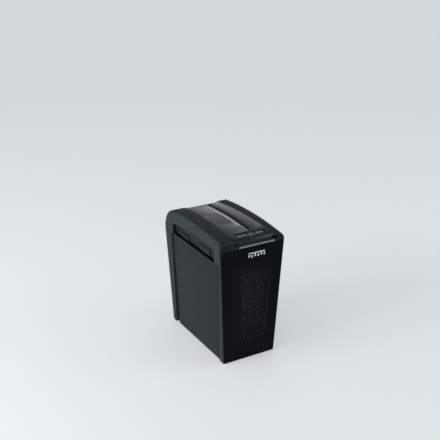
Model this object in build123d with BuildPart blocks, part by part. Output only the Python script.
from build123d import *
import math
import os

os.makedirs("parts", exist_ok=True)

# A slim deskside paper shredder. A fixed head with the cutting works stands on a rear
# column and a base plate, and a bin with a windowed front pulls out forwards.
# Millimetres. +Z is up, -Y is the narrow front, +X is to the right seen from the front.
# The origin is on the floor, under the middle of the whole body.

# ------------------------------------------------------------ driving dimensions: body
BASE_HALF_WIDTH = 84.0      # half width of the body at the floor
SIDE_TAPER = 0.0567         # how far each side leans out, per unit of height
FRONT_FOOT = 157.25         # front face to the origin at the floor
FRONT_LEAN = 0.0464
REAR_FOOT = 160.75          # rear face to the origin at the floor
REAR_LEAN = 0.045
CROWN_Z = 392.0             # highest line of the head
CROWN_Y = -13.0
CROWN_RADIUS = 1250.0       # long arch of the top, front to back
FRONT_CORNER = 20.0         # roundings of the side view
REAR_CORNER = 77.0
LEFT_SHOULDER = 5.0         # rounding along the left top edge
RIGHT_SHOULDER = 30.0       # softer rounding along the right top edge
SHELL = 2.5                 # wall of the mouldings
SEAM_Z = 310.0              # underside of the head
BIN_TOP_Z = 308.0
LIP_Z = 371.5               # underside of the head's front lip
BEZEL_TOP_Z = 371.0
POCKET_Y = -146.0           # wall behind the finger notch
FLOOR_GAP = 2.5             # mouldings stop this far above the floor
REACH = 240.0               # longer than the body, for cutting tools
TOOL = 20.0                 # spare size of a cutting tool past the surface
SHOULDER_BLEND = 0.7        # eases the soft shoulder into the tapered side
LIP_PLATE = 2.1
LIP_PLATE_Y = -168.6        # front edge of the lip's floor, behind the deck's skirt
WEB = 1.2
FIT_GAP = 0.3               # clearance between pieces that move past each other

# ------------------------------------------------------------ driving dimensions: deck
DECK_LEFT = -61.5
DECK_RIGHT = 62.5
DECK_SINK_DEGREES = 0.56    # the deck falls away from the wings towards the rear
DECK_THICKNESS = 2.6
DECK_REAR_Z = 345.0
DECK_HINGE = (-150.0, 384.0)    # y and z where the deck is flush with the wings
LEDGE = 3.0                 # width of the shell ledges under the edges of the deck
LEDGE_TOP = 2.65
LEDGE_THICKNESS = 2.2
FASCIA_CENTRE = (3.0, -153.5, 382.4)
FASCIA_TILT = 8.0
FASCIA_LENGTH = 96.0
FASCIA_WIDTH = 24.0
BUTTON_STEP = 22.0
FASCIA_THICKNESS = 2.5
BUTTON_LENGTH = 15.0
BUTTON_WIDTH = 9.0
BUTTON_PROUD = 0.9
BUTTON_FLANGE = 0.8
LENS_STEP = 78.0
LENS_RADIUS = 2.0
POST_X = 44.5
BOARD_DEPTH = 6.2           # top of the control board, under the fascia's face
STRIP_LEFT = -5.0
STRIP_RIGHT = 6.5
STRIP_FRONT_Y = -98.0
STRIP_REAR_Y = 97.0
STRIP_DEPTH = 0.8

# ------------------------------------------------------------ driving dimensions: slot
SLOT_X = 13.0               # the feed slot runs front to back, right of the middle
SLOT_FRONT_Y = -134.0
SLOT_REAR_Y = 108.0
SLOT_LEFT_X = 9.0
SLOT_RIGHT_FRONT_X = 15.5
SLOT_RIGHT_REAR_X = 21.0
THROAT_HALF = 2.6
THROAT_Z = 363.0

# ----------------------------------------------------------- driving dimensions: works
CUTTER_Z = 344.0
CUTTER_SPACING = 34.0
CUTTER_A_X = SLOT_X - CUTTER_SPACING / 2
CUTTER_B_X = SLOT_X + CUTTER_SPACING / 2
DISC_RADIUS = 20.0
SPACER_RADIUS = 13.7
DISC_WIDTH = 4.0
DISC_PITCH = 8.4
DISC_COUNT = 27
DISC_START_Y = -119.5
DISC_STAGGER = 13.0         # degrees from one disc to the next
JOURNAL = 6.0               # radius of the cutter shafts
BUSH_RADIUS = 9.0
RUNNING = 0.05              # radial clearance of a running fit
PLATE = 3.0                 # steel plates of the works
FRONT_PLATE_Y = -126.0
REAR_PLATE_Y = 105.0
GEAR_PLATE_Y = 146.0
MOTOR_X = -60.0
MOTOR_Z = 345.0
MOTOR_SHAFT = 2.5
BOLT = 2.0                  # radius of the long bolts through the motor
BOLT_STEP = 20.0
PAN_TOP_Z = 313.0
BOARD_X = 79.0
LEVER_Y = 127.0
LEVER_PIVOT_Z = 318.0
LEVER_PIN = 1.5
PIN = 3.0                   # radius of the idler pins
TOOTH_ADDENDUM = 0.6        # in modules
TOOTH_DEDENDUM = 0.95
TOOTH_FOOT = 0.85           # half thickness of a tooth at its foot and at its tip
TOOTH_TIP = 0.34
DRIVE_TEETH = 33
DRIVE_MODULE = 1.5
SECOND_PINION_TEETH = 9
SECOND_HEADING = 200.0      # direction of the second gear from the left cutter
SECOND_TEETH = 33
SECOND_MODULE = 1.25
FIRST_PINION_TEETH = 9
FIRST_TEETH = 44
FIRST_MODULE = 1.0
MOTOR_PINION_TEETH = 8
SYNC_TEETH = 17
SYNC_MODULE = CUTTER_SPACING / SYNC_TEETH

# ------------------------------------------------------- driving dimensions: front, bin
BEZEL_FRAME = 3.0           # front plate of the bezel, behind the gloss panel
GLOSS = 2.0
BEZEL_LOW_Z = 2.0
GLOSS_LOW_Z = 4.0
GLOSS_TOP_Z = 354.0
GLOSS_MARGIN = 1.2          # rim of the bezel beside the gloss panel
GRIP_BAR = 3.0
NOTCH_LEFT = -45.5
NOTCH_RIGHT = 72.5
NOTCH_FLARE = 15.0
BAR_LOW_Z = 354.4
BAR_TOP_Z = 360.0
WINDOW_X = 15.0
WINDOW_LOW_Z = 63.0
WINDOW_TOP_Z = 270.0
WINDOW_LOW_HALF = 37.0
WINDOW_TOP_HALF = 49.0
WINDOW_RIM = 3.0
WINDOW_CORNER = 7.0
TUB_INSET = 3.0             # the bin's sides stand back from the body's sides
TUB_WALL = 2.2
TUB_FLOOR_Z = 15.0
TUB_REAR_Y = 123.0
RECESS_DEPTH = 11.0         # grip recesses in the head's sides
RECESS_WALL = 2.0
RECESS_FRONT_Y = -134.0
RECESS_REAR_Y = 120.0
PAD = 3.0                   # thickness of the pads in the recesses

# ------------------------------------------------- driving dimensions: base and column
BASE_HALF = 76.0
BASE_LOW_Z = 4.0
BASE_TOP_Z = 8.0
RAIL_X = 60.0
RAIL_TOP_Z = 12.0
SPINE_Y = 149.0
COVER_WIDTH = 132.0
COVER_HEIGHT = 216.0
COVER_Z = 180.0
COVER_THICKNESS = 2.3
SCREW_STEP_X = 120.0
SCREW_STEP_Z = 204.0
SCREW_SINK = 1.4
LUG = 3.7                   # depth of the lugs that the cover is screwed to
VENT_STEP_X = 56.0
VENT_STEP_Z = 11.0
SCREW = 1.6                 # radius of the self-tapping screws
SCREW_HEAD = 3.2
GLAND_X = -45.0
GLAND_Z = 38.0
GLAND_BORE = 3.6
GLAND_SLEEVE = 6.0
GLAND_LENGTH = 9.0
ROCKER_X = 42.0
ROCKER_Z = 40.0
ROCKER_WIDTH = 14.0
ROCKER_HEIGHT = 18.0
ROCKER_DEGREES = 10.0


# ---------------------------------------------------------------------- outline helpers
def half_width(z, inset=0.0):
    return BASE_HALF_WIDTH + SIDE_TAPER * z - inset


def front_y(z, inset=0.0):
    return inset - FRONT_FOOT - FRONT_LEAN * z


def rear_y(z, inset=0.0):
    return REAR_FOOT + REAR_LEAN * z - inset


def bezel_back_y(z, inset=0.0):
    """Back edge of the front bezel's side returns, which narrow towards the top."""
    return inset - 134.0 - 0.0925 * z


def column_front_y(z, inset=0.0):
    """Front wall of the rear column."""
    return inset + 136.75 - 0.0162 * z


def crown_z(y):
    return CROWN_Z - CROWN_RADIUS + math.sqrt(CROWN_RADIUS**2 - (y - CROWN_Y) ** 2)


def crown_corner(face_line):
    """Where a nearly upright face, given as y of z, meets the crown arc."""
    z = CROWN_Z
    for _ in range(8):
        z = crown_z(face_line(z))
    return (face_line(z), z)


def side_view(inset=0.0):
    """Side view of the whole body, y across and z up."""
    front_top = crown_corner(front_y)
    rear_top = crown_corner(rear_y)
    with BuildSketch() as view:
        with BuildLine():
            Polyline(rear_top, (rear_y(0), 0), (front_y(0), 0), front_top)
            ThreePointArc(front_top, (CROWN_Y, CROWN_Z), rear_top)
        make_face()
        upper = view.vertices().filter_by(lambda v: v.Y > SEAM_Z).sort_by(Axis.X)
        fillet(upper[0], FRONT_CORNER)
        upper = view.vertices().filter_by(lambda v: v.Y > SEAM_Z).sort_by(Axis.X)
        fillet(upper[-1], REAR_CORNER)
        if inset:
            offset(amount=-inset, kind=Kind.INTERSECTION, mode=Mode.REPLACE)
    return view.sketch


def sunk_view(inset=0.0):
    """The same side view, turned down towards the rear for the sunken deck."""
    hinge = Axis((*DECK_HINGE, 0), (0, 0, 1))
    return side_view(inset).rotate(hinge, -DECK_SINK_DEGREES)


def taper_view(inset=0.0, low=-20.0, high=420.0):
    """Front view of the tapered sides, x across and z up."""
    with BuildSketch() as view:
        with BuildLine():
            Polyline((-half_width(low, inset), low), (half_width(low, inset), low),
                     (half_width(high, inset), high), (-half_width(high, inset), high), close=True)
        make_face()
    return view.sketch


def outline(points, rounding=0.0):
    """A closed straight-sided outline, with all its corners rounded if asked."""
    with BuildSketch() as view:
        with BuildLine():
            Polyline(*points, close=True)
        make_face()
        if rounding:
            fillet(view.vertices(), rounding)
    return view.sketch


def side_prism(view, x0=-REACH, x1=REACH):
    """A side view drawn out from one width to another."""
    with BuildPart() as solid:
        with BuildSketch(Plane.YZ.offset(x0)):
            add(view)
        extrude(amount=x1 - x0)
    return solid.part


def front_prism(view, y0=-REACH, y1=REACH):
    """A front view drawn out from one depth to another."""
    with BuildPart() as solid:
        with BuildSketch(Plane.XZ.offset(-y1)):
            add(view)
        extrude(amount=y1 - y0)
    return solid.part


def side_layer(outer, inner, y0=-REACH, y1=REACH):
    """The two slabs along the sides that lie between two depths under their surface."""
    with BuildPart() as slabs:
        add(front_prism(taper_view(outer), y0, y1))
        add(front_prism(taper_view(inner), y0 - 1, y1 + 1), mode=Mode.SUBTRACT)
    return slabs.part


def front_layer(outer, inner, z0, z1, x0=-REACH, x1=REACH):
    """A slab along the leaning front face, between two depths under it."""
    view = outline(((front_y(z0, outer), z0), (front_y(z1, outer), z1),
                    (front_y(z1, inner), z1), (front_y(z0, inner), z0)))
    return side_prism(view, x0, x1)


def body_form(inset=0.0):
    """The whole outer form: tapered sides, arched top and a soft right shoulder."""
    radius = RIGHT_SHOULDER - inset
    centre_x = half_width(CROWN_Z - RIGHT_SHOULDER) - RIGHT_SHOULDER + SHOULDER_BLEND
    centre_z = CROWN_Z - RIGHT_SHOULDER
    with BuildPart() as form:
        add(side_prism(side_view(inset)))
        add(front_prism(taper_view(inset)), mode=Mode.INTERSECT)
        with BuildSketch(Plane.XZ.offset(-CROWN_Y)) as shoulder:
            with BuildLine():
                CenterArc((centre_x, centre_z), radius, 0, 90)
                Polyline((centre_x + radius, centre_z), (centre_x + radius + TOOL, centre_z),
                         (centre_x + radius + TOOL, centre_z + radius + TOOL),
                         (centre_x, centre_z + radius + TOOL), (centre_x, centre_z + radius))
            make_face()
        for way in (1, -1):
            arch = Axis((0, CROWN_Y, CROWN_Z - CROWN_RADIUS), (way, 0, 0))
            revolve(shoulder.sketch, axis=arch, revolution_arc=12, mode=Mode.SUBTRACT)
        if not inset:
            crisp = form.edges().filter_by(is_left_top_edge)
            fillet(crisp, LEFT_SHOULDER)
    return form.part


def is_left_top_edge(edge):
    """True for the edges that run along the top of the left side."""
    middle = edge.center()
    return middle.X < -half_width(SEAM_Z) and middle.Z > 340 and abs((edge @ 0 - edge @ 1).X) < 3


def upper_zone(front_z, rear_z):
    """Side view of the space over the head's opening, lower at the rear than at the front."""
    return outline(((-REACH, front_z), (0, front_z), (0, rear_z),
                    (REACH, rear_z), (REACH, REACH * 2), (-REACH, REACH * 2)))


def recess_view(grow=0.0):
    """Side view of a grip recess: open below, with an arched top."""
    with BuildSketch() as view:
        with BuildLine():
            Polyline((RECESS_FRONT_Y, 350), (RECESS_FRONT_Y, 290), (RECESS_REAR_Y, 290),
                     (RECESS_REAR_Y, 340.5))
            ThreePointArc((RECESS_REAR_Y, 340.5), (-20, 356), (RECESS_FRONT_Y, 350))
        make_face()
        upper = view.vertices().filter_by(lambda v: v.Y > SEAM_Z)
        fillet(upper, 8)
        if grow:
            offset(amount=grow, mode=Mode.REPLACE)
    return view.sketch


def window_view(shrink=0.0):
    """Front view of the bin's window, which narrows downwards."""
    low = WINDOW_LOW_HALF - shrink
    high = WINDOW_TOP_HALF - shrink
    corners = ((WINDOW_X - low, WINDOW_LOW_Z + shrink), (WINDOW_X + low, WINDOW_LOW_Z + shrink),
               (WINDOW_X + high, WINDOW_TOP_Z - shrink), (WINDOW_X - high, WINDOW_TOP_Z - shrink))
    return outline(corners, WINDOW_CORNER - shrink)


# ------------------------------------------------------------------------- solid helpers
def block(x0, x1, y0, y1, z0, z1, mode=Mode.ADD):
    """A plain block between two opposite corners."""
    with Locations(((x0 + x1) / 2, (y0 + y1) / 2, (z0 + z1) / 2)):
        Box(x1 - x0, y1 - y0, z1 - z0, mode=mode)


def rod(x, z, y0, y1, radius, mode=Mode.ADD):
    """A round bar that runs front to back."""
    with Locations(Location((x, (y0 + y1) / 2, z), (90, 0, 0))):
        Cylinder(radius, y1 - y0, mode=mode)


def cross_rod(y, z, x0, x1, radius, mode=Mode.ADD):
    """A round bar that runs from left to right."""
    with Locations(Location(((x0 + x1) / 2, y, z), (0, 90, 0))):
        Cylinder(radius, x1 - x0, mode=mode)


def tube(x, z, y0, y1, outer, inner):
    """A plain tube that runs front to back."""
    with BuildPart() as ring:
        rod(x, z, y0, y1, outer)
        rod(x, z, y0 - 1, y1 + 1, inner, mode=Mode.SUBTRACT)
    return ring.part


def rear_plane(x, z):
    """A plane on the leaning rear face, facing out, with its second direction up."""
    return Plane(origin=(x, rear_y(z), z), x_dir=(-1, 0, 0), z_dir=(0, 1, -REAR_LEAN))


def gear_view(teeth, module, turn, bore):
    """A spur gear's outline with short straight-sided teeth, one of them at angle turn."""
    root = teeth * module / 2 - TOOTH_DEDENDUM * module
    tip = teeth * module / 2 + TOOTH_ADDENDUM * module
    with BuildSketch() as view:
        Circle(root)
        with PolarLocations(0, teeth, start_angle=turn):
            Polygon((root - module / 2, -TOOTH_FOOT * module), (tip, -TOOTH_TIP * module),
                    (tip, TOOTH_TIP * module), (root - module / 2, TOOTH_FOOT * module), align=None)
        Circle(bore, mode=Mode.SUBTRACT)
    return view.sketch


def gear(teeth, module, turn, bore, x, z, y0, y1):
    """A spur gear on an axis that runs front to back."""
    with BuildPart() as wheel:
        with BuildSketch(Plane.XZ.offset(-y1)):
            with Locations((x, z)):
                add(gear_view(teeth, module, turn, bore))
        extrude(amount=y1 - y0)
    return wheel.part


def mesh_turn(turn, teeth, next_teeth, heading):
    """The turn of the next gear, which lies at angle heading, so that its gap meets a tooth."""
    pitch = 360 / teeth
    lead = (turn - heading + pitch / 2) % pitch - pitch / 2
    return heading + 180 - lead * teeth / next_teeth + 180 / next_teeth


def heading_of(start, end):
    return math.degrees(math.atan2(end[1] - start[1], end[0] - start[0]))


# --------------------------------------------------------------------- the head's casing
with BuildPart() as head_shell:
    add(body_form())
    add(body_form(SHELL), mode=Mode.SUBTRACT)
    block(-REACH, REACH, -REACH, REACH, -REACH, SEAM_Z, mode=Mode.SUBTRACT)
    front_pocket = outline(((-REACH, 300), (bezel_back_y(300, 0.5), 300),
                            (bezel_back_y(LIP_Z, 0.5), LIP_Z), (-REACH, LIP_Z)))
    add(side_prism(front_pocket), mode=Mode.SUBTRACT)
    deck_hole = side_prism(upper_zone(LIP_Z - 0.1, DECK_REAR_Z), DECK_LEFT, DECK_RIGHT)
    add(deck_hole, mode=Mode.SUBTRACT)
    with BuildPart() as webs:
        block(-REACH, REACH, POCKET_Y, POCKET_Y + SHELL, SEAM_Z, LIP_Z + LIP_PLATE)
        block(-REACH, REACH, -REACH, POCKET_Y, LIP_Z, LIP_Z + LIP_PLATE)
        block(DECK_LEFT, DECK_RIGHT, -REACH, LIP_PLATE_Y,
              LIP_Z - 1, LIP_Z + LIP_PLATE + 1, mode=Mode.SUBTRACT)
        block(-REACH, REACH, TUB_REAR_Y, 134, SEAM_Z, SEAM_Z + WEB)
        block(72, 78.5, 124, 131, SEAM_Z - 1, SEAM_Z + WEB + 1, mode=Mode.SUBTRACT)
        add(body_form(0.5), mode=Mode.INTERSECT)
    add(webs.part)
    for outer_x, edge_x, inner_x in ((DECK_LEFT - SHELL, DECK_LEFT, DECK_LEFT + LEDGE),
                                     (DECK_RIGHT + SHELL, DECK_RIGHT, DECK_RIGHT - LEDGE)):
        with BuildPart() as ledge:
            add(side_prism(side_view(0.5), min(outer_x, edge_x), max(outer_x, edge_x)))
            add(side_prism(sunk_view(LEDGE_TOP), min(edge_x, inner_x), max(edge_x, inner_x)))
            add(side_prism(sunk_view(LEDGE_TOP + LEDGE_THICKNESS)), mode=Mode.SUBTRACT)
            add(side_prism(upper_zone(LIP_Z + 1, DECK_REAR_Z - 6)), mode=Mode.INTERSECT)
        add(ledge.part)
    with BuildPart() as side_cut:
        add(side_layer(-5, SHELL + 0.5))
        add(side_prism(recess_view()), mode=Mode.INTERSECT)
    add(side_cut.part, mode=Mode.SUBTRACT)
head_shell.part.label = "head_shell"
export_step(head_shell.part, "parts/head_shell.step")

# The grip liners: shallow trays behind the cut-outs in the head's sides.
with BuildPart() as liner_pair:
    add(side_layer(SHELL + 0.05, RECESS_DEPTH + RECESS_WALL))
    add(side_prism(recess_view(RECESS_WALL)), mode=Mode.INTERSECT)
    with BuildPart() as tray:
        add(side_layer(0, RECESS_DEPTH))
        add(side_prism(recess_view()), mode=Mode.INTERSECT)
    add(tray.part, mode=Mode.SUBTRACT)
    block(-REACH, REACH, -REACH, REACH, -REACH, SEAM_Z, mode=Mode.SUBTRACT)

with BuildPart() as grip_liner_left:
    add(liner_pair.part)
    block(0, REACH, -REACH, REACH, -REACH, 2 * REACH, mode=Mode.SUBTRACT)
grip_liner_left.part.label = "grip_liner_left"
export_step(grip_liner_left.part, "parts/grip_liner_left.step")

with BuildPart() as grip_liner_right:
    add(liner_pair.part)
    block(-REACH, 0, -REACH, REACH, -REACH, 2 * REACH, mode=Mode.SUBTRACT)
grip_liner_right.part.label = "grip_liner_right"
export_step(grip_liner_right.part, "parts/grip_liner_right.step")

with BuildPart() as grip_pads:
    for front, rear, top in ((-95, -36, 332), (29, 86, 326)):
        pad = outline(((front, 312), (rear, 312), (rear, top), (front, top)), 5)
        add(side_prism(pad))
    add(side_layer(RECESS_DEPTH - PAD, RECESS_DEPTH), mode=Mode.INTERSECT)
grip_pads.part.label = "grip_pads"
export_step(grip_pads.part, "parts/grip_pads.step")

# ------------------------------------------------------------------ the deck on the head
slot_mouth = ((SLOT_LEFT_X, SLOT_FRONT_Y), (SLOT_RIGHT_FRONT_X, SLOT_FRONT_Y),
              (SLOT_RIGHT_REAR_X, SLOT_REAR_Y), (SLOT_LEFT_X, SLOT_REAR_Y))
slot_throat = ((SLOT_X - THROAT_HALF, SLOT_FRONT_Y), (SLOT_X + THROAT_HALF, SLOT_FRONT_Y),
               (SLOT_X + THROAT_HALF, SLOT_REAR_Y), (SLOT_X - THROAT_HALF, SLOT_REAR_Y))
FASCIA = Plane(origin=FASCIA_CENTRE, x_dir=(1, 0, 0),
               z_dir=(0, -math.sin(math.radians(FASCIA_TILT)), math.cos(math.radians(FASCIA_TILT))))

with BuildPart() as top_deck:
    add(side_prism(sunk_view(), DECK_LEFT + 0.2, DECK_RIGHT - 0.2))
    add(side_prism(sunk_view(DECK_THICKNESS)), mode=Mode.SUBTRACT)
    add(side_prism(upper_zone(LIP_Z, DECK_REAR_Z + FIT_GAP)), mode=Mode.INTERSECT)
    with BuildSketch(Plane.XY.offset(LIP_Z)):
        add(outline(slot_mouth))
    extrude(amount=TOOL * 2, mode=Mode.SUBTRACT)
    with BuildSketch(FASCIA):
        SlotOverall(FASCIA_LENGTH + FIT_GAP, FASCIA_WIDTH + FIT_GAP)
    extrude(amount=TOOL / 2, both=True, mode=Mode.SUBTRACT)
    with BuildPart() as strip_pocket:
        add(side_prism(sunk_view(-1), STRIP_LEFT, STRIP_RIGHT))
        add(side_prism(sunk_view(STRIP_DEPTH)), mode=Mode.SUBTRACT)
        block(-REACH, REACH, STRIP_FRONT_Y, STRIP_REAR_Y, SEAM_Z, REACH * 2, mode=Mode.INTERSECT)
    add(strip_pocket.part, mode=Mode.SUBTRACT)
top_deck.part.label = "top_deck"
export_step(top_deck.part, "parts/top_deck.step")

with BuildPart() as guide_strip:
    add(side_prism(sunk_view(), STRIP_LEFT + 0.1, STRIP_RIGHT - 0.1))
    add(side_prism(sunk_view(STRIP_DEPTH - 0.05)), mode=Mode.SUBTRACT)
    block(-REACH, REACH, STRIP_FRONT_Y + 0.1, STRIP_REAR_Y - 0.1, SEAM_Z, REACH * 2,
          mode=Mode.INTERSECT)
guide_strip.part.label = "guide_strip"
export_step(guide_strip.part, "parts/guide_strip.step")

# A funnel that leads the paper from the slot's mouth down to the cutters.
with BuildPart() as throat_guide:
    with BuildSketch(Plane.XY.offset(THROAT_Z)):
        with Locations((SLOT_X, (SLOT_FRONT_Y + SLOT_REAR_Y) / 2)):
            Rectangle(10, SLOT_REAR_Y - SLOT_FRONT_Y + 4)
    with BuildSketch(Plane.XY.offset(CROWN_Z)):
        with Locations((SLOT_X + 2.5, (SLOT_FRONT_Y + SLOT_REAR_Y) / 2)):
            Rectangle(23, SLOT_REAR_Y - SLOT_FRONT_Y + 4)
    loft()
    add(side_prism(sunk_view(DECK_THICKNESS + 0.05)), mode=Mode.INTERSECT)
    with BuildSketch(Plane.XY.offset(THROAT_Z)):
        add(outline(slot_throat))
    with BuildSketch(Plane.XY.offset(CROWN_Z)):
        add(outline(slot_mouth))
    loft(mode=Mode.SUBTRACT)
throat_guide.part.label = "throat_guide"
export_step(throat_guide.part, "parts/throat_guide.step")

# -------------------------------------------------------------------- the control fascia
with BuildPart(FASCIA) as control_fascia:
    with BuildSketch(FASCIA):
        SlotOverall(FASCIA_LENGTH, FASCIA_WIDTH)
        with GridLocations(BUTTON_STEP, 0, 3, 1):
            SlotOverall(BUTTON_LENGTH + FIT_GAP * 2, BUTTON_WIDTH + FIT_GAP * 2, mode=Mode.SUBTRACT)
        with GridLocations(LENS_STEP, 0, 2, 1):
            Circle(LENS_RADIUS + 0.05, mode=Mode.SUBTRACT)
    extrude(amount=-FASCIA_THICKNESS)
    with Locations((-POST_X, 0, (-FASCIA_THICKNESS - BOARD_DEPTH) / 2),
                   (POST_X, 0, (-FASCIA_THICKNESS - BOARD_DEPTH) / 2)):
        Cylinder(1.8, BOARD_DEPTH - FASCIA_THICKNESS)
control_fascia.part.label = "control_fascia"
export_step(control_fascia.part, "parts/control_fascia.step")

with BuildPart(FASCIA) as indicator_lenses:
    with GridLocations(LENS_STEP, 0, 2, 1):
        Cylinder(LENS_RADIUS, FASCIA_THICKNESS, align=(Align.CENTER, Align.CENTER, Align.MAX))
indicator_lenses.part.label = "indicator_lenses"
export_step(indicator_lenses.part, "parts/indicator_lenses.step")


def push_button(place):
    """A button cap with a retaining flange under the fascia."""
    with BuildPart() as button:
        with BuildSketch(Plane.XY.offset(-FASCIA_THICKNESS - 0.1)):
            SlotOverall(BUTTON_LENGTH + 3, BUTTON_WIDTH + 3)
        extrude(amount=-BUTTON_FLANGE)
        with BuildSketch(Plane.XY.offset(-FASCIA_THICKNESS - 0.1)):
            SlotOverall(BUTTON_LENGTH, BUTTON_WIDTH)
        extrude(amount=FASCIA_THICKNESS + 0.1 + BUTTON_PROUD)
        fillet(button.faces().sort_by(Axis.Z)[-1].edges(), 0.6)
    return FASCIA.location * Location((place * BUTTON_STEP, 0, 0)) * button.part


with BuildPart() as button_reverse:
    add(push_button(-1))
button_reverse.part.label = "button_reverse"
export_step(button_reverse.part, "parts/button_reverse.step")

with BuildPart() as button_power:
    add(push_button(0))
button_power.part.label = "button_power"
export_step(button_power.part, "parts/button_power.step")

with BuildPart() as button_forward:
    add(push_button(1))
button_forward.part.label = "button_forward"
export_step(button_forward.part, "parts/button_forward.step")

with BuildPart(FASCIA) as control_board:
    with Locations((0, 0, -BOARD_DEPTH)):
        Box(FASCIA_LENGTH, 16, 1.4, align=(Align.CENTER, Align.CENTER, Align.MAX))
        with GridLocations(BUTTON_STEP, 0, 3, 1):
            Box(6, 6, 1, align=(Align.CENTER, Align.CENTER, Align.MIN))
            Cylinder(1.5, 1.3, align=(Align.CENTER, Align.CENTER, Align.MIN))
control_board.part.label = "control_board"
export_step(control_board.part, "parts/control_board.step")

# ------------------------------------------------------------------ the rear column
column_view = outline(((column_front_y(0), FLOOR_GAP), (REACH, FLOOR_GAP),
                       (REACH, SEAM_Z - 0.4), (column_front_y(SEAM_Z), SEAM_Z - 0.4)))
column_space = outline(((column_front_y(0, SHELL), -1), (REACH, -1),
                        (REACH, SEAM_Z + 1), (column_front_y(SEAM_Z, SHELL), SEAM_Z + 1)))
with BuildPart() as rear_column:
    add(body_form())
    add(side_prism(column_view), mode=Mode.INTERSECT)
    with BuildPart() as column_hollow:
        add(front_prism(taper_view(SHELL)))
        add(side_prism(column_space), mode=Mode.INTERSECT)
        hollow_rear = outline(((0, -1), (rear_y(-1, SHELL), -1),
                               (rear_y(SEAM_Z + 1, SHELL), SEAM_Z + 1), (0, SEAM_Z + 1)))
        add(side_prism(hollow_rear), mode=Mode.INTERSECT)
    add(column_hollow.part, mode=Mode.SUBTRACT)
    block(-BASE_HALF - FIT_GAP, BASE_HALF + FIT_GAP, TUB_REAR_Y, SPINE_Y, 0, BASE_TOP_Z + FIT_GAP,
          mode=Mode.SUBTRACT)
    with BuildSketch(rear_plane(0, COVER_Z)):
        RectangleRounded(COVER_WIDTH + 2 * FIT_GAP, COVER_HEIGHT + 2 * FIT_GAP, 6)
    extrude(amount=TOOL / 4, both=True, mode=Mode.SUBTRACT)
    with BuildSketch(rear_plane(0, COVER_Z).offset(-COVER_THICKNESS)):
        with GridLocations(COVER_WIDTH - 8, COVER_HEIGHT - 8, 2, 2):
            Rectangle(20, 16)
    extrude(amount=-LUG)
    with BuildSketch(rear_plane(0, COVER_Z).offset(-COVER_THICKNESS)):
        with GridLocations(SCREW_STEP_X, SCREW_STEP_Z, 2, 2):
            Circle(SCREW + 0.05)
    extrude(amount=-LUG, mode=Mode.SUBTRACT)
    with BuildSketch(rear_plane(ROCKER_X, ROCKER_Z)):
        Rectangle(ROCKER_WIDTH + 6.4, ROCKER_HEIGHT + 6.4)
    extrude(amount=TOOL / 4, both=True, mode=Mode.SUBTRACT)
    with BuildSketch(rear_plane(GLAND_X, GLAND_Z)):
        Circle(GLAND_SLEEVE + 0.05)
    extrude(amount=TOOL / 4, both=True, mode=Mode.SUBTRACT)
rear_column.part.label = "rear_column"
export_step(rear_column.part, "parts/rear_column.step")

with BuildPart(rear_plane(0, COVER_Z)) as rear_cover:
    with BuildSketch(rear_plane(0, COVER_Z)):
        RectangleRounded(COVER_WIDTH, COVER_HEIGHT, 6)
        with Locations((0, 40)):
            with GridLocations(VENT_STEP_X, VENT_STEP_Z, 2, 9):
                SlotOverall(44, 4, mode=Mode.SUBTRACT)
    extrude(amount=-COVER_THICKNESS)
    with GridLocations(SCREW_STEP_X, SCREW_STEP_Z, 2, 2):
        CounterBoreHole(SCREW + 0.2, SCREW_HEAD + 0.2, SCREW_SINK)
rear_cover.part.label = "rear_cover"
export_step(rear_cover.part, "parts/rear_cover.step")

with BuildPart(rear_plane(0, COVER_Z)) as cover_screws:
    with GridLocations(SCREW_STEP_X, SCREW_STEP_Z, 2, 2):
        with Locations((0, 0, -SCREW_SINK)):
            Cylinder(SCREW_HEAD, SCREW_SINK, align=(Align.CENTER, Align.CENTER, Align.MIN))
            Cylinder(SCREW, 4.5, align=(Align.CENTER, Align.CENTER, Align.MAX))
    with GridLocations(SCREW_STEP_X, SCREW_STEP_Z, 2, 2):
        Box(4.2, 0.9, 0.8, align=(Align.CENTER, Align.CENTER, Align.MAX), mode=Mode.SUBTRACT)
        Box(0.9, 4.2, 0.8, align=(Align.CENTER, Align.CENTER, Align.MAX), mode=Mode.SUBTRACT)
cover_screws.part.label = "cover_screws"
export_step(cover_screws.part, "parts/cover_screws.step")

with BuildPart(rear_plane(ROCKER_X, ROCKER_Z)) as rocker_frame:
    Box(ROCKER_WIDTH + 10, ROCKER_HEIGHT + 10, 1.5, align=(Align.CENTER, Align.CENTER, Align.MIN))
    Box(ROCKER_WIDTH + 6, ROCKER_HEIGHT + 6, 9.5, align=(Align.CENTER, Align.CENTER, Align.MAX))
    with Locations((0, 0, -6)):
        Box(ROCKER_WIDTH, ROCKER_HEIGHT, 9, align=(Align.CENTER, Align.CENTER, Align.MIN),
            mode=Mode.SUBTRACT)
rocker_frame.part.label = "rocker_frame"
export_step(rocker_frame.part, "parts/rocker_frame.step")

# The rocker is seen from its side here and tips about a line across its middle.
half = ROCKER_HEIGHT / 2 - 0.7
rocker_side = outline(((-half, -1.5), (0, -3.5), (half, -1.5), (half, 2.4), (0, 1.2), (-half, 2.4)))
with BuildPart() as rocker_form:
    with BuildSketch(Plane.YZ.offset(-ROCKER_WIDTH / 2 + FIT_GAP)):
        add(rocker_side)
    extrude(amount=ROCKER_WIDTH - 2 * FIT_GAP)
tipped = rear_plane(ROCKER_X, ROCKER_Z).location * Location((0, 0, 0), (ROCKER_DEGREES, 0, 0))
with BuildPart() as rocker_switch:
    add(tipped * rocker_form.part)
rocker_switch.part.label = "rocker_switch"
export_step(rocker_switch.part, "parts/rocker_switch.step")

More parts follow.
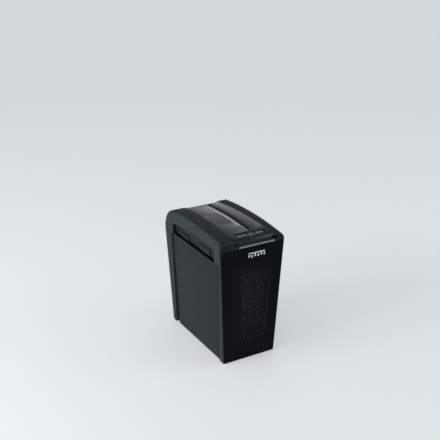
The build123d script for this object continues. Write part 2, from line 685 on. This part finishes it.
with BuildPart(rear_plane(GLAND_X, GLAND_Z)) as cord_gland:
    Cylinder(GLAND_SLEEVE + 2.5, 2, align=(Align.CENTER, Align.CENTER, Align.MIN))
    fillet(cord_gland.faces().sort_by(Axis.Y)[-1].edges(), 1)
    Cylinder(GLAND_SLEEVE, GLAND_LENGTH - 2, align=(Align.CENTER, Align.CENTER, Align.MAX))
    Cylinder(GLAND_BORE, TOOL * 2, mode=Mode.SUBTRACT)
cord_gland.part.label = "cord_gland"
export_step(cord_gland.part, "parts/cord_gland.step")

# --------------------------------------------------------------------- base and frame
with BuildPart() as base_plate:
    block(-BASE_HALF, BASE_HALF, -130, 157, BASE_LOW_Z, BASE_TOP_Z)
    fillet(base_plate.edges().filter_by(Axis.Z), 5)
    for x in (-RAIL_X, RAIL_X):
        block(x - 3, x + 3, -125, 118, BASE_TOP_Z, RAIL_TOP_Z)
base_plate.part.label = "base_plate"
export_step(base_plate.part, "parts/base_plate.step")

with BuildPart() as feet:
    with Locations((0, 18, 0)):
        with GridLocations(124, 260, 2, 2):
            Cylinder(8.5, BASE_LOW_Z, align=(Align.CENTER, Align.CENTER, Align.MIN))
    chamfer(feet.faces().sort_by(Axis.Z)[:4].edges(), 1)
feet.part.label = "feet"
export_step(feet.part, "parts/feet.step")

with BuildPart() as spine_plate:
    block(-60, 60, SPINE_Y, SPINE_Y + 2.5, BASE_TOP_Z, CUTTER_Z)
    block(-60, 60, SPINE_Y, 156, BASE_TOP_Z, BASE_TOP_Z + 2.5)
    for z in (90, 160, 230):
        rod(0, z, SPINE_Y - 1, SPINE_Y + 4, 14, mode=Mode.SUBTRACT)
spine_plate.part.label = "spine_plate"
export_step(spine_plate.part, "parts/spine_plate.step")

with BuildPart() as underpan:
    block(-88, 88, -143, 119.5, SEAM_Z + 0.5, PAN_TOP_Z)
    block(-28, 54, -122, 104, SEAM_Z, PAN_TOP_Z + 1, mode=Mode.SUBTRACT)
underpan.part.label = "underpan"
export_step(underpan.part, "parts/underpan.step")

# ------------------------------------------------------------------- the cutter frame
tie_places = ((-29, 364), (-29, 322), (56, 364), (56, 322))
gear_post_places = ((-82, 317.5), (12, 318.5), (-84, 344))
motor_place = (MOTOR_X, MOTOR_Z)
cutter_a_place = (CUTTER_A_X, CUTTER_Z)
drive_reach = (DRIVE_TEETH + SECOND_PINION_TEETH) * DRIVE_MODULE / 2
second_place = (CUTTER_A_X + drive_reach * math.cos(math.radians(SECOND_HEADING)),
                CUTTER_Z + drive_reach * math.sin(math.radians(SECOND_HEADING)))
second_reach = (SECOND_TEETH + FIRST_PINION_TEETH) * SECOND_MODULE / 2
first_reach = (FIRST_TEETH + MOTOR_PINION_TEETH) * FIRST_MODULE / 2
# The first gear sits below the line between its two neighbours, at its reach from each.
span = math.dist(second_place, motor_place)
inside = math.acos((second_reach**2 + span**2 - first_reach**2) / (2 * second_reach * span))
towards = math.radians(heading_of(second_place, motor_place)) + inside
first_place = (second_place[0] + second_reach * math.cos(towards),
               second_place[1] + second_reach * math.sin(towards))
pin_places = (second_place, first_place)


def frame_plate(y0):
    """A side plate of the cutter frame with its bush and rod holes."""
    with BuildPart() as plate:
        block(-88, 88, y0, y0 + PLATE, PAN_TOP_Z, 370)
        fillet(plate.edges().filter_by(Axis.Y), 3)
        for x in (CUTTER_A_X, CUTTER_B_X):
            rod(x, CUTTER_Z, y0 - 1, y0 + PLATE + 1, BUSH_RADIUS + 0.05, mode=Mode.SUBTRACT)
        for x, z in tie_places:
            rod(x, z, y0 - 1, y0 + PLATE + 1, PIN + 0.05, mode=Mode.SUBTRACT)
        block(SLOT_X - 7, SLOT_X + 9, y0 - 1, y0 + PLATE + 1, THROAT_Z - 0.5, 375, mode=Mode.SUBTRACT)
    return plate.part


with BuildPart() as cutter_frame_front:
    add(frame_plate(FRONT_PLATE_Y))
cutter_frame_front.part.label = "cutter_frame_front"
export_step(cutter_frame_front.part, "parts/cutter_frame_front.step")

with BuildPart() as cutter_frame_rear:
    add(frame_plate(REAR_PLATE_Y))
    for x, z in pin_places:
        rod(x, z, REAR_PLATE_Y - 1, REAR_PLATE_Y + PLATE + 1, PIN + 0.05, mode=Mode.SUBTRACT)
    rod(MOTOR_X, MOTOR_Z, REAR_PLATE_Y - 1, REAR_PLATE_Y + PLATE + 1, 7, mode=Mode.SUBTRACT)
    for x in (MOTOR_X - BOLT_STEP, MOTOR_X + BOLT_STEP):
        for z in (MOTOR_Z - BOLT_STEP, MOTOR_Z + BOLT_STEP):
            rod(x, z, REAR_PLATE_Y - 1, REAR_PLATE_Y + PLATE + 1, BOLT + 0.05, mode=Mode.SUBTRACT)
cutter_frame_rear.part.label = "cutter_frame_rear"
export_step(cutter_frame_rear.part, "parts/cutter_frame_rear.step")

with BuildPart() as tie_rods:
    for x, z in tie_places:
        rod(x, z, FRONT_PLATE_Y - 3.5, REAR_PLATE_Y + PLATE + 3, PIN)
    for y in (FRONT_PLATE_Y - 2.9, REAR_PLATE_Y + PLATE + 0.1):
        with BuildSketch(Plane.XZ.offset(-y - 2.8)):
            for place in tie_places:
                with Locations(place):
                    RegularPolygon(5.2, 6)
                    Circle(PIN + 0.05, mode=Mode.SUBTRACT)
        extrude(amount=2.8)
tie_rods.part.label = "tie_rods"
export_step(tie_rods.part, "parts/tie_rods.step")

with BuildPart() as shaft_bushes:
    for x in (CUTTER_A_X, CUTTER_B_X):
        for y in (FRONT_PLATE_Y, REAR_PLATE_Y):
            add(tube(x, CUTTER_Z, y - 1, y + PLATE + 1, BUSH_RADIUS, JOURNAL + RUNNING))
shaft_bushes.part.label = "shaft_bushes"
export_step(shaft_bushes.part, "parts/shaft_bushes.step")


def stripper(bar_x, tip_x, start_y, count):
    """A comb that clears the paper from the gaps between the cutting discs."""
    with BuildPart() as comb:
        block(bar_x, bar_x + 3.5, FRONT_PLATE_Y + PLATE, REAR_PLATE_Y, 334, 354)
        gap_middle = start_y + (DISC_WIDTH + DISC_PITCH) / 2
        for i in range(count):
            y = gap_middle + i * DISC_PITCH
            block(min(tip_x, bar_x), max(tip_x, bar_x + 3.5), y - 1.7, y + 1.7, 341, 347)
    return comb.part


DISC_START_B = DISC_START_Y + DISC_PITCH / 2
with BuildPart() as strippers_left:
    add(stripper(-31, CUTTER_A_X - SPACER_RADIUS - 0.5, DISC_START_Y, DISC_COUNT - 1))
strippers_left.part.label = "strippers_left"
export_step(strippers_left.part, "parts/strippers_left.step")

with BuildPart() as strippers_right:
    add(stripper(53.5, CUTTER_B_X + SPACER_RADIUS + 0.5, DISC_START_B, DISC_COUNT - 2))
strippers_right.part.label = "strippers_right"
export_step(strippers_right.part, "parts/strippers_right.step")

# ------------------------------------------------------------------ the cutter shafts
with BuildPart() as cutter_shaft_a:
    rod(CUTTER_A_X, CUTTER_Z, -140, 122, JOURNAL)
    chamfer(cutter_shaft_a.edges(), 0.6)
cutter_shaft_a.part.label = "cutter_shaft_a"
export_step(cutter_shaft_a.part, "parts/cutter_shaft_a.step")

with BuildPart() as cutter_shaft_b:
    rod(CUTTER_B_X, CUTTER_Z, -140, 110, JOURNAL)
    chamfer(cutter_shaft_b.edges(), 0.6)
cutter_shaft_b.part.label = "cutter_shaft_b"
export_step(cutter_shaft_b.part, "parts/cutter_shaft_b.step")

# One cutting disc: three hooked notches, and a bore on the shaft.
with BuildPart() as cutting_disc:
    with BuildSketch(Plane.XZ):
        Circle(DISC_RADIUS)
        with PolarLocations(0, 3):
            Polygon((DISC_RADIUS + 1, -0.5), (DISC_RADIUS - 3.5, 0), (DISC_RADIUS + 0.4, 7.5),
                    align=None, mode=Mode.SUBTRACT)
        Circle(JOURNAL + 0.05, mode=Mode.SUBTRACT)
    extrude(amount=-DISC_WIDTH)


def disc_places(x, start_y, count, step):
    """Each disc along a shaft, turned a little further than the one before it."""
    return [Location((x, start_y + i * DISC_PITCH, CUTTER_Z), (0, i * step, 0)) for i in range(count)]


def spacer_rings(x, start_y, count):
    """The rings between the discs."""
    with BuildPart() as rings:
        for i in range(count - 1):
            y = start_y + i * DISC_PITCH + DISC_WIDTH
            add(tube(x, CUTTER_Z, y + 0.05, y + DISC_PITCH - DISC_WIDTH - 0.05,
                     SPACER_RADIUS, JOURNAL + 0.05))
    return rings.part


with BuildPart() as cutter_discs_a:
    with Locations(*disc_places(CUTTER_A_X, DISC_START_Y, DISC_COUNT, DISC_STAGGER)):
        add(cutting_disc.part)
    add(spacer_rings(CUTTER_A_X, DISC_START_Y, DISC_COUNT))
cutter_discs_a.part.label = "cutter_discs_a"
export_step(cutter_discs_a.part, "parts/cutter_discs_a.step")

with BuildPart() as cutter_discs_b:
    with Locations(*disc_places(CUTTER_B_X, DISC_START_B, DISC_COUNT - 1, -DISC_STAGGER)):
        add(cutting_disc.part)
    add(spacer_rings(CUTTER_B_X, DISC_START_B, DISC_COUNT - 1))
cutter_discs_b.part.label = "cutter_discs_b"
export_step(cutter_discs_b.part, "parts/cutter_discs_b.step")

# --------------------------------------------------------------------- the gear train
with BuildPart() as sync_gear_a:
    add(gear(SYNC_TEETH, SYNC_MODULE, 0, JOURNAL + 0.05, CUTTER_A_X, CUTTER_Z, -138, -129))
sync_gear_a.part.label = "sync_gear_a"
export_step(sync_gear_a.part, "parts/sync_gear_a.step")

sync_b_turn = mesh_turn(0, SYNC_TEETH, SYNC_TEETH, 0)
with BuildPart() as sync_gear_b:
    add(gear(SYNC_TEETH, SYNC_MODULE, sync_b_turn, JOURNAL + 0.05, CUTTER_B_X, CUTTER_Z, -138, -129))
sync_gear_b.part.label = "sync_gear_b"
export_step(sync_gear_b.part, "parts/sync_gear_b.step")

with BuildPart() as drive_gear:
    add(gear(DRIVE_TEETH, DRIVE_MODULE, 0, JOURNAL + 0.05, *cutter_a_place, 111.5, 120.5))
    with BuildSketch(Plane.XZ.offset(-121)):
        with Locations(cutter_a_place):
            with PolarLocations(15.5, 5):
                Circle(4.2)
    extrude(amount=TOOL, mode=Mode.SUBTRACT)
drive_gear.part.label = "drive_gear"
export_step(drive_gear.part, "parts/drive_gear.step")

second_turn = mesh_turn(0, DRIVE_TEETH, SECOND_PINION_TEETH, SECOND_HEADING)
with BuildPart() as second_gear:
    add(gear(SECOND_PINION_TEETH, DRIVE_MODULE, second_turn, PIN + RUNNING, *second_place, 111, 122))
    add(gear(SECOND_TEETH, SECOND_MODULE, 0, PIN + RUNNING, *second_place, 122, 129))
second_gear.part.label = "second_gear"
export_step(second_gear.part, "parts/second_gear.step")

first_turn = mesh_turn(0, SECOND_TEETH, FIRST_PINION_TEETH, heading_of(second_place, first_place))
with BuildPart() as first_gear:
    add(gear(FIRST_PINION_TEETH, SECOND_MODULE, first_turn, PIN + RUNNING, *first_place, 121.5, 136))
    add(gear(FIRST_TEETH, FIRST_MODULE, 0, PIN + RUNNING, *first_place, 136, 143))
first_gear.part.label = "first_gear"
export_step(first_gear.part, "parts/first_gear.step")

motor_turn = mesh_turn(0, FIRST_TEETH, MOTOR_PINION_TEETH, heading_of(first_place, motor_place))
with BuildPart() as motor_pinion:
    add(gear(MOTOR_PINION_TEETH, FIRST_MODULE, motor_turn, MOTOR_SHAFT + 0.05, *motor_place, 135, 144))
motor_pinion.part.label = "motor_pinion"
export_step(motor_pinion.part, "parts/motor_pinion.step")

with BuildPart() as gear_plate:
    block(-90, 20, GEAR_PLATE_Y, SPINE_Y, 309, 350)
    fillet(gear_plate.edges().filter_by(Axis.Y), 4)
    for x, z in pin_places:
        rod(x, z, GEAR_PLATE_Y - 1, SPINE_Y + 1, PIN + 0.05, mode=Mode.SUBTRACT)
gear_plate.part.label = "gear_plate"
export_step(gear_plate.part, "parts/gear_plate.step")

with BuildPart() as gear_posts:
    for x, z in gear_post_places:
        rod(x, z, REAR_PLATE_Y + PLATE, GEAR_PLATE_Y, PIN)
    for x, z in pin_places:
        rod(x, z, REAR_PLATE_Y, SPINE_Y - 0.05, PIN)
gear_posts.part.label = "gear_posts"
export_step(gear_posts.part, "parts/gear_posts.step")

# ------------------------------------------------------------------------- the motor
bolt_places = [(MOTOR_X + i, MOTOR_Z + j) for i in (-BOLT_STEP, BOLT_STEP)
               for j in (-BOLT_STEP, BOLT_STEP)]


def bolt_holes():
    """Clear holes for the four long bolts of the motor."""
    for x, z in bolt_places:
        rod(x, z, -10, REAR_PLATE_Y + 10, BOLT + 0.05, mode=Mode.SUBTRACT)


with BuildPart() as motor_stator:
    block(MOTOR_X - 25, MOTOR_X + 25, 32, 72, MOTOR_Z - 25, MOTOR_Z + 25)
    fillet(motor_stator.edges().filter_by(Axis.Y), 4)
    rod(MOTOR_X, MOTOR_Z, 30, 74, 15.2, mode=Mode.SUBTRACT)
    bolt_holes()
motor_stator.part.label = "motor_stator"
export_step(motor_stator.part, "parts/motor_stator.step")

with BuildPart() as motor_coils:
    for y0, y1 in ((26, 31.9), (72.1, 78)):
        add(tube(MOTOR_X, MOTOR_Z, y0, y1, 22.5, 16.5))
    fillet(motor_coils.edges(), 2)
motor_coils.part.label = "motor_coils"
export_step(motor_coils.part, "parts/motor_coils.step")

with BuildPart() as motor_end_caps:
    for y0, y1, boss_y0, boss_y1 in ((8, 11, 5, 11), (93, 96, 93, 101)):
        block(MOTOR_X - 25, MOTOR_X + 25, y0, y1, MOTOR_Z - 25, MOTOR_Z + 25)
        rod(MOTOR_X, MOTOR_Z, boss_y0, boss_y1, 6)
    for x in (MOTOR_X - 17, MOTOR_X + 14):
        block(x, x + 3, 11, 25, MOTOR_Z - 4, MOTOR_Z + 4)
    rod(MOTOR_X, MOTOR_Z, 0, 105, MOTOR_SHAFT + RUNNING, mode=Mode.SUBTRACT)
    bolt_holes()
    for x in (MOTOR_X - 14, MOTOR_X + 7.3):
        block(x, x + 6.7, 18, 24, MOTOR_Z - 2.5, MOTOR_Z + 2.5)
motor_end_caps.part.label = "motor_end_caps"
export_step(motor_end_caps.part, "parts/motor_end_caps.step")

with BuildPart() as motor_bolts:
    for x, z in bolt_places:
        rod(x, z, 5, REAR_PLATE_Y + PLATE + 1, BOLT)
        rod(x, z, 5, 7.9, BOLT * 1.8)
    for y0, y1 in ((11, 32), (72, 93), (96, REAR_PLATE_Y)):
        for x, z in bolt_places:
            add(tube(x, z, y0 + 0.05, y1 - 0.05, 3.5, BOLT + 0.05))
motor_bolts.part.label = "motor_bolts"
export_step(motor_bolts.part, "parts/motor_bolts.step")

with BuildPart() as motor_shaft:
    rod(MOTOR_X, MOTOR_Z, 6, 144.5, MOTOR_SHAFT)
motor_shaft.part.label = "motor_shaft"
export_step(motor_shaft.part, "parts/motor_shaft.step")

with BuildPart() as motor_armature:
    with BuildSketch(Plane.XZ.offset(-73)):
        with Locations(motor_place):
            Circle(14.5)
            with PolarLocations(12.6, 12):
                SlotOverall(5, 1.6, mode=Mode.SUBTRACT)
            Circle(MOTOR_SHAFT + 0.05, mode=Mode.SUBTRACT)
    extrude(amount=42)
    add(tube(MOTOR_X, MOTOR_Z, 16, 25, 7, MOTOR_SHAFT + 0.05))
    add(tube(MOTOR_X, MOTOR_Z, 25.1, 30.9, 11.5, MOTOR_SHAFT + 0.05))
    add(tube(MOTOR_X, MOTOR_Z, 73.1, 78, 11.5, MOTOR_SHAFT + 0.05))
motor_armature.part.label = "motor_armature"
export_step(motor_armature.part, "parts/motor_armature.step")

with BuildPart() as motor_fan:
    with BuildSketch(Plane.XZ.offset(-90)):
        with Locations(motor_place):
            Circle(6)
            with PolarLocations(12.5, 8):
                Rectangle(15, 1.6)
            Circle(MOTOR_SHAFT + 0.05, mode=Mode.SUBTRACT)
    extrude(amount=8)
motor_fan.part.label = "motor_fan"
export_step(motor_fan.part, "parts/motor_fan.step")

# ---------------------------------------------------------------------- electronics
with BuildPart() as power_board:
    block(BOARD_X, BOARD_X + 1.6, -70, 60, PAN_TOP_Z, 356)
    block(BOARD_X - 17, BOARD_X, -62, -34, 320, 346)
    block(BOARD_X - 15, BOARD_X, 28, 46, 320, 336)
    block(BOARD_X - 10, BOARD_X, -24, -14, 322, 350)
    for y in (-4, 12):
        cross_rod(y, 330, BOARD_X - 16, BOARD_X, 6)
power_board.part.label = "power_board"
export_step(power_board.part, "parts/power_board.step")

with BuildPart() as paper_sensor:
    block(-2, 5.5, -44, -36, 364, 371)
    block(22.5, 30, -44, -36, 364, 371)
    for x in (5.5, 21.5):
        cross_rod(-40, 368, x, x + 1, 1.2)
paper_sensor.part.label = "paper_sensor"
export_step(paper_sensor.part, "parts/paper_sensor.step")

with BuildPart() as interlock_bracket:
    block(69, 81, REAR_PLATE_Y + PLATE, REAR_PLATE_Y + PLATE + 2, PAN_TOP_Z, 326)
    for x in (69, 78.8):
        block(x, x + 2.2, REAR_PLATE_Y + PLATE, LEVER_Y + 3.5, PAN_TOP_Z, 324)
        cross_rod(LEVER_Y, LEVER_PIVOT_Z, x - 1, x + 3, LEVER_PIN + 0.05, mode=Mode.SUBTRACT)
    cross_rod(LEVER_Y, LEVER_PIVOT_Z, 68.5, 81.5, LEVER_PIN)
interlock_bracket.part.label = "interlock_bracket"
export_step(interlock_bracket.part, "parts/interlock_bracket.step")

with BuildPart() as interlock_switch:
    block(71.7, 78.3, REAR_PLATE_Y + PLATE + 2, 121.5, 314, 325)
    block(73.5, 76.5, 121.5, 123.5, 320.5, 323)
interlock_switch.part.label = "interlock_switch"
export_step(interlock_switch.part, "parts/interlock_switch.step")

with BuildPart() as interlock_lever:
    block(73, 77, LEVER_Y - 1.4, LEVER_Y + 1.4, 297, 324)
    block(73, 77, TUB_REAR_Y + FIT_GAP, LEVER_Y, 297, 303)
    cross_rod(LEVER_Y, LEVER_PIVOT_Z, 73, 77, 3)
    cross_rod(LEVER_Y, LEVER_PIVOT_Z, 72, 78, LEVER_PIN + RUNNING, mode=Mode.SUBTRACT)
interlock_lever.part.label = "interlock_lever"
export_step(interlock_lever.part, "parts/interlock_lever.step")

# ------------------------------------------------------------------- the bin's front
screw_places = ((-70, 40), (70, 40), (-78, 290), (78, 290))
behind_bezel = outline(((-REACH, BEZEL_LOW_Z), (bezel_back_y(BEZEL_LOW_Z), BEZEL_LOW_Z),
                        (bezel_back_y(BEZEL_TOP_Z), BEZEL_TOP_Z), (-REACH, BEZEL_TOP_Z)))
bezel_space = outline(((front_y(5, GLOSS + BEZEL_FRAME), 5), (front_y(300, GLOSS + BEZEL_FRAME), 300),
                       (bezel_back_y(300, 1), 300), (bezel_back_y(5, 1), 5)))
notch_view = outline(((NOTCH_LEFT, BAR_TOP_Z), (NOTCH_RIGHT, BAR_TOP_Z),
                      (NOTCH_RIGHT + NOTCH_FLARE, BEZEL_TOP_Z + 1),
                      (NOTCH_LEFT - NOTCH_FLARE, BEZEL_TOP_Z + 1)))
with BuildPart() as front_bezel:
    add(body_form())
    add(side_prism(behind_bezel), mode=Mode.INTERSECT)
    with BuildPart() as bezel_hollow:
        add(side_prism(bezel_space))
        add(front_prism(taper_view(SHELL)), mode=Mode.INTERSECT)
        for x, z in screw_places:
            rod(x, z, -REACH, 0, 4, mode=Mode.SUBTRACT)
    add(bezel_hollow.part, mode=Mode.SUBTRACT)
    with BuildPart() as gloss_pocket:
        add(front_layer(-5, GLOSS, GLOSS_LOW_Z, GLOSS_TOP_Z))
        add(front_prism(taper_view(GLOSS_MARGIN)), mode=Mode.INTERSECT)
    add(gloss_pocket.part, mode=Mode.SUBTRACT)
    add(front_prism(window_view(0.0), -REACH, 0), mode=Mode.SUBTRACT)
    add(front_prism(notch_view, -REACH, 0), mode=Mode.SUBTRACT)
    add(front_layer(-5, GRIP_BAR, BAR_LOW_Z, BAR_TOP_Z + 1, NOTCH_LEFT, NOTCH_RIGHT),
        mode=Mode.SUBTRACT)
    for x, z in screw_places:
        rod(x, z, front_y(z, GLOSS + 1), 0, SCREW + 0.05, mode=Mode.SUBTRACT)
front_bezel.part.label = "front_bezel"
export_step(front_bezel.part, "parts/front_bezel.step")

with BuildPart() as gloss_panel:
    add(front_layer(0.05, GLOSS - 0.05, GLOSS_LOW_Z + 0.2, GLOSS_TOP_Z - 0.2))
    add(front_prism(taper_view(GLOSS_MARGIN + 0.2)), mode=Mode.INTERSECT)
    add(front_prism(window_view(0.0), -REACH, 0), mode=Mode.SUBTRACT)
gloss_panel.part.label = "gloss_panel"
export_step(gloss_panel.part, "parts/gloss_panel.step")

with BuildPart() as grip_bar:
    add(front_layer(0.05, GRIP_BAR - 0.05, BAR_LOW_Z + 0.1, BAR_TOP_Z,
                    NOTCH_LEFT + 0.1, NOTCH_RIGHT - 0.1))
grip_bar.part.label = "grip_bar"
export_step(grip_bar.part, "parts/grip_bar.step")

with BuildPart() as window_frame:
    add(front_layer(0.3, GLOSS + BEZEL_FRAME, WINDOW_LOW_Z - 5, WINDOW_TOP_Z + 5))
    add(front_prism(window_view(0.1), -REACH, 0), mode=Mode.INTERSECT)
    add(front_prism(window_view(WINDOW_RIM), -REACH, 0), mode=Mode.SUBTRACT)
window_frame.part.label = "window_frame"
export_step(window_frame.part, "parts/window_frame.step")

with BuildPart() as window_lens:
    add(front_layer(0.8, 2.8, WINDOW_LOW_Z - 5, WINDOW_TOP_Z + 5))
    add(front_prism(window_view(WINDOW_RIM + 0.05), -REACH, 0), mode=Mode.INTERSECT)
window_lens.part.label = "window_lens"
export_step(window_lens.part, "parts/window_lens.step")

# -------------------------------------------------------------------------- the bin
tub_view = outline(((bezel_back_y(FLOOR_GAP), FLOOR_GAP), (TUB_REAR_Y, FLOOR_GAP),
                    (TUB_REAR_Y, BIN_TOP_Z), (bezel_back_y(BIN_TOP_Z), BIN_TOP_Z)))
tub_floor = TUB_FLOOR_Z + TUB_WALL
tub_inside = outline(((bezel_back_y(tub_floor, TUB_WALL), tub_floor),
                      (TUB_REAR_Y - TUB_WALL, tub_floor), (TUB_REAR_Y - TUB_WALL, BIN_TOP_Z + 1),
                      (bezel_back_y(BIN_TOP_Z + 1, TUB_WALL), BIN_TOP_Z + 1)))
tub_under = outline(((bezel_back_y(0, TUB_WALL), 0), (TUB_REAR_Y + 1, 0),
                     (TUB_REAR_Y + 1, TUB_FLOOR_Z), (bezel_back_y(TUB_FLOOR_Z, TUB_WALL), TUB_FLOOR_Z)))
with BuildPart() as bin_tub:
    add(side_prism(tub_view))
    add(front_prism(taper_view(TUB_INSET)), mode=Mode.INTERSECT)
    with BuildPart() as tub_hollow:
        add(side_prism(tub_inside))
        add(side_prism(tub_under))
        add(front_prism(taper_view(TUB_INSET + TUB_WALL)), mode=Mode.INTERSECT)
    add(tub_hollow.part, mode=Mode.SUBTRACT)
    add(front_prism(window_view(WINDOW_RIM), -REACH, -100), mode=Mode.SUBTRACT)
    for x, z in screw_places:
        rod(x, z, -REACH, -100, SCREW + 0.05, mode=Mode.SUBTRACT)
    for x in (-RAIL_X, RAIL_X):
        block(x - 3, x + 3, -120, 110, RAIL_TOP_Z + 0.2, TUB_FLOOR_Z)
bin_tub.part.label = "bin_tub"
export_step(bin_tub.part, "parts/bin_tub.step")

with BuildPart() as bezel_screws:
    for x, z in screw_places:
        back = bezel_back_y(z - SCREW_HEAD, TUB_WALL)
        rod(x, z, bezel_back_y(z) - 5.5, back + 1, SCREW)
        rod(x, z, back, back + 2, SCREW_HEAD)
bezel_screws.part.label = "bezel_screws"
export_step(bezel_screws.part, "parts/bezel_screws.step")
